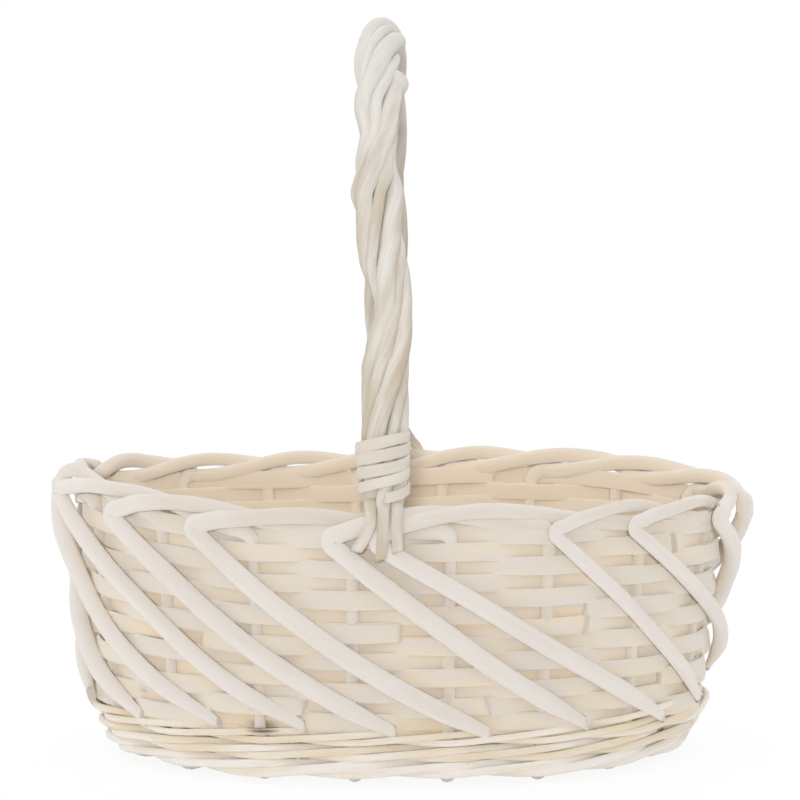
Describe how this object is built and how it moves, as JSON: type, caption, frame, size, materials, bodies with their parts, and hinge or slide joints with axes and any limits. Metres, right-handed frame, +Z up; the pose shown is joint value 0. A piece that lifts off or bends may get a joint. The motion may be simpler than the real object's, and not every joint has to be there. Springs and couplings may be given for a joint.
{
  "type": "wicker basket",
  "caption": "Oval wicker gift basket of pale willow with a rope rim, slanting outer rods, a woven wall and a fixed twisted hoop handle over the short way.",
  "frame": {"origin": "middle of the footprint, on the surface that the basket stands on", "axes": "+X along the length of the oval, +Y from the front to the back, +Z up along the handle"},
  "size_m": [0.295, 0.229, 0.3095],
  "materials": {
    "peeled_willow": "bleached peeled rod, matt",
    "split_willow": "bleached split strip, matt",
    "foot_willow": "thin bleached rod, matt",
    "base_willow": "bleached stick and strip, matt",
    "handle_willow": "bleached rod, satin",
    "binding_skein": "shaved flat skein, satin"
  },
  "bodies": {
    "root": {"base_long_stick_1": "base_willow", "base_long_stick_2": "base_willow", "base_long_stick_3": "base_willow", "base_short_stick_1": "base_willow", "base_short_stick_2": "base_willow", "base_short_stick_3": "base_willow", "base_short_stick_4": "base_willow", "base_short_stick_5": "base_willow", "base_weaver_a": "base_willow", "base_weaver_b": "base_willow", "foot_wale_1a": "foot_willow", "foot_wale_1b": "foot_willow", "foot_wale_1c": "foot_willow", "foot_wale_2a": "foot_willow", "foot_wale_2b": "foot_willow", "foot_wale_2c": "foot_willow", "foot_wale_3a": "foot_willow", "foot_wale_3b": "foot_willow", "foot_wale_3c": "foot_willow", "handle_binding_back": "binding_skein", "handle_binding_front": "binding_skein", "handle_core": "handle_willow", "handle_strand_1": "handle_willow", "handle_strand_2": "handle_willow", "handle_strand_3": "handle_willow", "handle_strand_4": "handle_willow", "handle_strand_5": "handle_willow", "handle_strand_6": "handle_willow", "wall_rod_01": "peeled_willow", "wall_rod_02": "peeled_willow", "wall_rod_03": "peeled_willow", "wall_rod_04": "peeled_willow", "wall_rod_05": "peeled_willow", "wall_rod_06": "peeled_willow", "wall_rod_07": "peeled_willow", "wall_rod_08": "peeled_willow", "wall_rod_09": "peeled_willow", "wall_rod_10": "peeled_willow", "wall_rod_11": "peeled_willow", "wall_rod_12": "peeled_willow", "wall_rod_13": "peeled_willow", "wall_rod_14": "peeled_willow", "wall_rod_15": "peeled_willow", "wall_rod_16": "peeled_willow", "wall_rod_17": "peeled_willow", "wall_rod_18": "peeled_willow", "weaver_row_01": "split_willow", "weaver_row_02": "split_willow", "weaver_row_03": "split_willow", "weaver_row_04": "split_willow", "weaver_row_05": "split_willow", "weaver_row_06": "split_willow", "weaver_row_07": "split_willow", "weaver_row_08": "split_willow", "weaver_row_09": "split_willow", "weaver_row_10": "split_willow", "weaver_row_11": "split_willow", "weaver_row_12": "split_willow", "weaver_row_13": "split_willow"}
  },
  "joints": []
}
